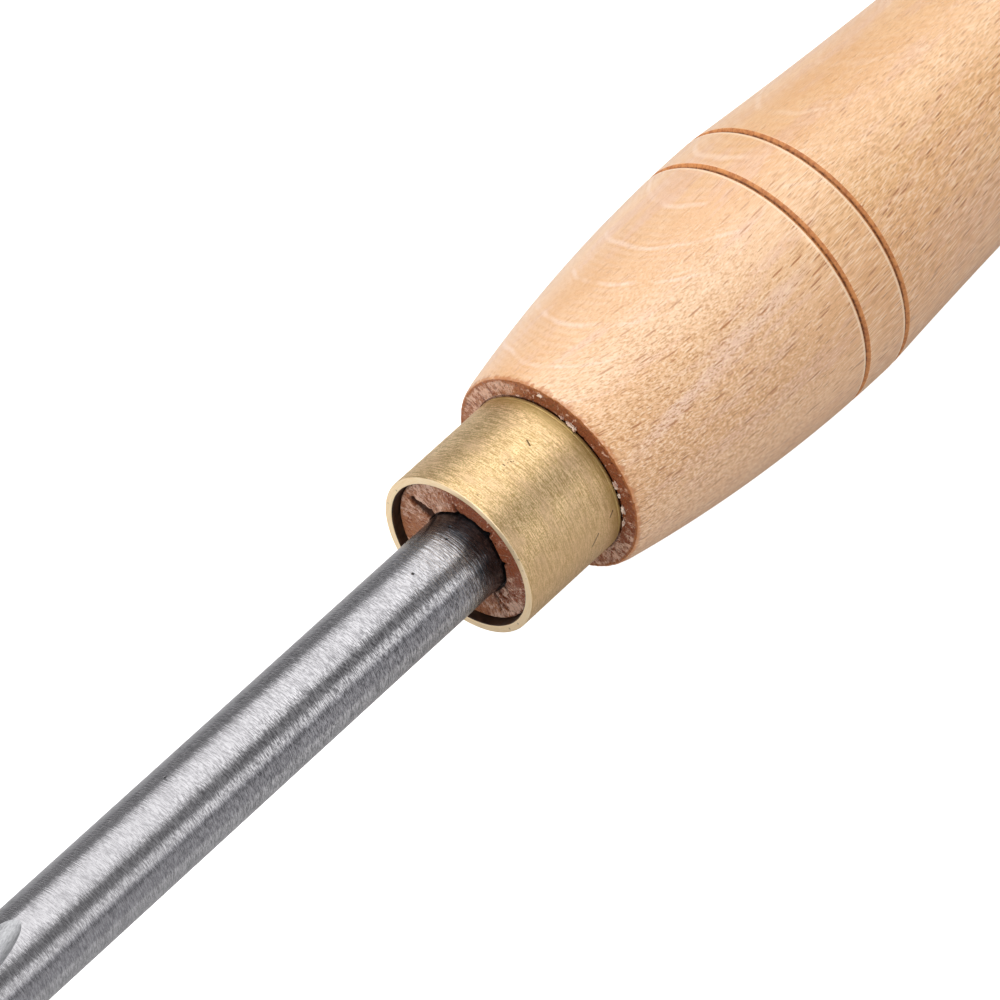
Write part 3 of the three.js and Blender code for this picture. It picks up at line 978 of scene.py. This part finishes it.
def make_crumbs(material):
    """Dried adhesive pressed out where the ferrule meets the shoulder."""
    work = bmesh.new()
    dice = random.Random(7)
    for degrees, radius, length, thickness in CRUMBS:
        turn = math.radians(degrees)
        outwards = Vector((0, math.cos(turn), math.sin(turn)))
        sideways = Vector((0, -math.sin(turn), math.cos(turn)))
        centre = Vector((FERRULE_LENGTH - 0.05, 0, 0)) + outwards * radius
        made = bmesh.ops.create_icosphere(work, subdivisions=4, radius=1.0)
        seed = Vector([dice.uniform(0, 100) for _ in range(3)])
        for vertex in made["verts"]:
            lump = 0.8 + 0.9 * noise.noise(vertex.co * 1.6 + seed)
            lump += 0.45 * noise.noise(vertex.co * 4.0 + seed)
            x, y, z = vertex.co * max(0.15, lump) / 2
            vertex.co = FRONT + (centre + Vector((x * thickness, 0, 0)) +
                                 outwards * y * thickness + sideways * z * length) * MM
    mesh = bpy.data.meshes.new("adhesive_squeeze_out")
    work.to_mesh(mesh)
    work.free()
    piece_from("adhesive_squeeze_out", mesh, [material], sharp_degrees=60)


def coat_adhesive(material):
    """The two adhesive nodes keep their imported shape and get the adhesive's material."""
    for name in ("shank_adhesive", "ferrule_adhesive"):
        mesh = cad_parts[name].data
        mesh.materials.clear()
        mesh.materials.append(material)


# ---- blade

def solid(mesh, material):
    """A loose object for carve to work on."""
    mesh.materials.append(material)
    return placed(mesh.name, mesh)


def carve(target, tool, operation):
    """Cuts or trims target with tool, and removes the tool."""
    modifier = target.modifiers.new("carve", "BOOLEAN")
    modifier.operation = operation
    modifier.solver = "EXACT"
    modifier.material_mode = "TRANSFER"
    modifier.object = tool
    graph = bpy.context.evaluated_depsgraph_get()
    carved = bpy.data.meshes.new_from_object(target.evaluated_get(graph))
    target.modifiers.clear()
    target.data = carved
    bpy.data.objects.remove(tool)


def bar_mesh():
    """The round bar, a little longer than the blade, with its shank's end chamfered."""
    nose = -BLADE_REACH - BLADE_RADIUS
    rings = [(nose, 0, 1, 0)]
    for s in spaced(nose, SHANK_DEPTH - SHANK_CHAMFER, BLADE_SPACING):
        rings.append((s, BLADE_RADIUS, 1, 0))
    rings += [(SHANK_DEPTH, BLADE_RADIUS - SHANK_CHAMFER, 1, 0), (SHANK_DEPTH, 0, 1, 0)]
    return turned_mesh("blade_bar", rings, METAL_FACETS)


def blade_place(x, y, z):
    """A point given about the bar's own axis, as if the flute opened straight up."""
    return FRONT + (FLUTE_ROLL @ Vector((x, y, z)) + BORE_OFFSET) * MM


def flute_channel():
    """The straight stretch of the flute: a U-shaped section swept along the bar."""
    start, end = -BLADE_REACH - 2 * BLADE_RADIUS, FLUTE_END - FLUTE_LIFT
    section = [(FLUTE_RADIUS, 2 * BLADE_RADIUS), (-FLUTE_RADIUS, 2 * BLADE_RADIUS)]
    for i in range(CUTTER_STEPS + 1):
        angle = math.pi + math.pi * i / CUTTER_STEPS
        section.append((FLUTE_RADIUS * math.cos(angle),
                        FLUTE_FLOOR + FLUTE_RADIUS + FLUTE_RADIUS * math.sin(angle)))
    count = len(section)
    points = [blade_place(x, y, z) for x in (start, end) for y, z in section]
    faces = strip(0, count, count) + [list(range(count)), list(range(count, 2 * count))]
    return closed_mesh("flute_channel", points, faces)


def flute_disc():
    """The cutter where it lifts out: a disc with a full-round rim, its axle along Y."""
    centre_x, centre_z = FLUTE_END - FLUTE_LIFT, FLUTE_FLOOR + FLUTE_CUTTER_RADIUS
    rim = arc(0, FLUTE_CUTTER_RADIUS - FLUTE_RADIUS, FLUTE_RADIUS, 180, 0, CUTTER_STEPS)
    points, faces = [], []
    for y, radius in rim:
        for k in range(CUTTER_FACETS):
            angle = math.tau * k / CUTTER_FACETS
            points.append(blade_place(centre_x + radius * math.cos(angle), y,
                                      centre_z + radius * math.sin(angle)))
    last = len(points) - CUTTER_FACETS
    for start in range(0, last, CUTTER_FACETS):
        faces += strip(start, start + CUTTER_FACETS, CUTTER_FACETS)
    faces += [list(range(CUTTER_FACETS)), list(range(last, len(points)))]
    return closed_mesh("flute_disc", points, faces)


def nose_cone():
    """All that grinding leaves: steep under the nose, shallow along the wings."""
    half = (BEVEL_ANGLE + WING_ANGLE) / 2
    tilt = (BEVEL_ANGLE - WING_ANGLE) / 2
    height = (BLADE_REACH + SHANK_DEPTH) * 1.2  # enough to hold the whole bar
    reach = height * math.tan(half)
    apex = Vector((-BLADE_REACH - NOSE_RISE / math.tan(BEVEL_ANGLE), 0, FLUTE_FLOOR + NOSE_RISE))
    turn = Matrix.Rotation(tilt, 3, "Y")
    points = [blade_place(*apex)]
    for k in range(METAL_FACETS):
        angle = math.tau * k / METAL_FACETS
        rim = Vector((height, reach * math.cos(angle), reach * math.sin(angle)))
        points.append(blade_place(*(apex + turn @ rim)))
    faces = [[0, k + 1, (k + 1) % METAL_FACETS + 1] for k in range(METAL_FACETS)]
    faces.append([k + 1 for k in range(METAL_FACETS)])
    return closed_mesh("nose_cone", points, faces)


def make_blade(ground, milled, bevelled):
    """Each cut leaves its tool's own finish on the bar."""
    bar = solid(bar_mesh(), ground)
    carve(bar, solid(flute_channel(), milled), "DIFFERENCE")
    carve(bar, solid(flute_disc(), milled), "DIFFERENCE")
    carve(bar, solid(nose_cone(), bevelled), "INTERSECT")
    mesh = bar.data
    bpy.data.objects.remove(bar)
    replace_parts(piece_from("blade_steel", mesh, [], sharp_degrees=25), "gouge_blade")


# ---- stage, light and camera

# Metres: half the floor's side, and how far it lies below the tool.
FLOOR_SIZE, FLOOR_GAP = 4, 0.0002
# Where the camera looks from, in degrees, and how far off it is, in metres. Its lens and
# sensor are in millimetres, and its aim is so far right of and above the ferrule's front.
CAMERA_AZIMUTH, CAMERA_ELEVATION, CAMERA_DISTANCE = -50.23, 49.02, 0.6988
CAMERA_LENS, CAMERA_SENSOR = 241.3, 36
AIM_RIGHT, AIM_UP = 0.00438, 0.00579


def make_floor():
    """Pale paper, which looks evenly white to the camera but still lights the tool."""
    mesh = bpy.data.meshes.new("floor")
    size = FLOOR_SIZE
    z = cad_low.z - FLOOR_GAP
    corners = [(-size, -size, z), (size, -size, z), (size, size, z), (-size, size, z)]
    mesh.from_pydata(corners, [], [[0, 1, 2, 3]])
    shader = Shader("floor_paper")
    shader.finish(rgb(0.66, 0.66, 0.66), 0.9)
    paper = shader.surface.outputs[0]
    glow = shader.node("Emission")
    shader.feed_named(glow, Strength=0.95)
    lit = shader.node("AddShader", [glow.outputs[0], paper])
    seen = shader.node("LightPath").outputs["Is Camera Ray"]
    shown = shader.node("MixShader", [seen, paper, lit.outputs[0]])
    shader.feed_named(shader.tree.nodes["Material Output"], Surface=shown.outputs[0])
    mesh.materials.append(shader.material)
    placed("floor", mesh)


def softbox(name, place, length, width, power):
    """A soft light at a place, in metres from the ferrule, facing the tool."""
    data = bpy.data.lights.new(name, "AREA")
    data.shape = "RECTANGLE"
    data.size = length
    data.size_y = width
    data.energy = power
    light = placed(name, data)
    away = Vector(place)
    light.matrix_world = (Matrix.Translation(FRONT + away) @
                          away.to_track_quat("Z", "X").to_matrix().to_4x4())
    light.visible_camera = False


def beside(tilt_degrees):
    """A metre from the tool's axis, tilted from straight up towards -Y, and over the belly."""
    tilt = math.radians(tilt_degrees)
    return (0.2, -math.sin(tilt), math.cos(tilt))


def make_lights():
    softbox("overhead_softbox", beside(-19.5), 1.3, 1.84, 12.1)
    softbox("front_softbox", beside(69), 0.50, 1.4, 2.2)
    softbox("end_softbox", (-0.8, 0.10, 0.35), 0.9, 0.9, 6.0)
    world = bpy.data.worlds.new("studio")
    world.use_nodes = True
    background = world.node_tree.nodes["Background"]
    background.inputs["Color"].default_value = rgb(0.5, 0.5, 0.51)
    background.inputs["Strength"].default_value = 0.72
    bpy.context.scene.world = world
    bpy.context.scene.view_settings.view_transform = "Standard"


def make_camera():
    azimuth, elevation = math.radians(CAMERA_AZIMUTH), math.radians(CAMERA_ELEVATION)
    right = Vector((math.cos(azimuth), math.sin(azimuth), 0))
    back = Vector((math.sin(azimuth) * math.cos(elevation),
                   -math.cos(azimuth) * math.cos(elevation), math.sin(elevation)))
    up = back.cross(right)
    aim = FRONT + right * AIM_RIGHT + up * AIM_UP
    camera = placed("camera", bpy.data.cameras.new("camera"))
    camera.data.lens = CAMERA_LENS
    camera.data.sensor_width = CAMERA_SENSOR
    camera.data.clip_start = 0.01
    camera.data.clip_end = 20
    camera.matrix_world = Matrix.Translation(aim + back * CAMERA_DISTANCE) @ Matrix(
        (right, up, back)).transposed().to_4x4()
    bpy.context.scene.camera = camera


make_camera()
make_lights()
make_floor()
make_handle([end_grain_material(), beech_material(), groove_material()])
make_ferrule([brass_material(), ferrule_inside_material(), faced_brass_material()])
make_blade(steel_material(), flute_material(), bevel_material())
make_crumbs(crumb_material())
coat_adhesive(epoxy_material())
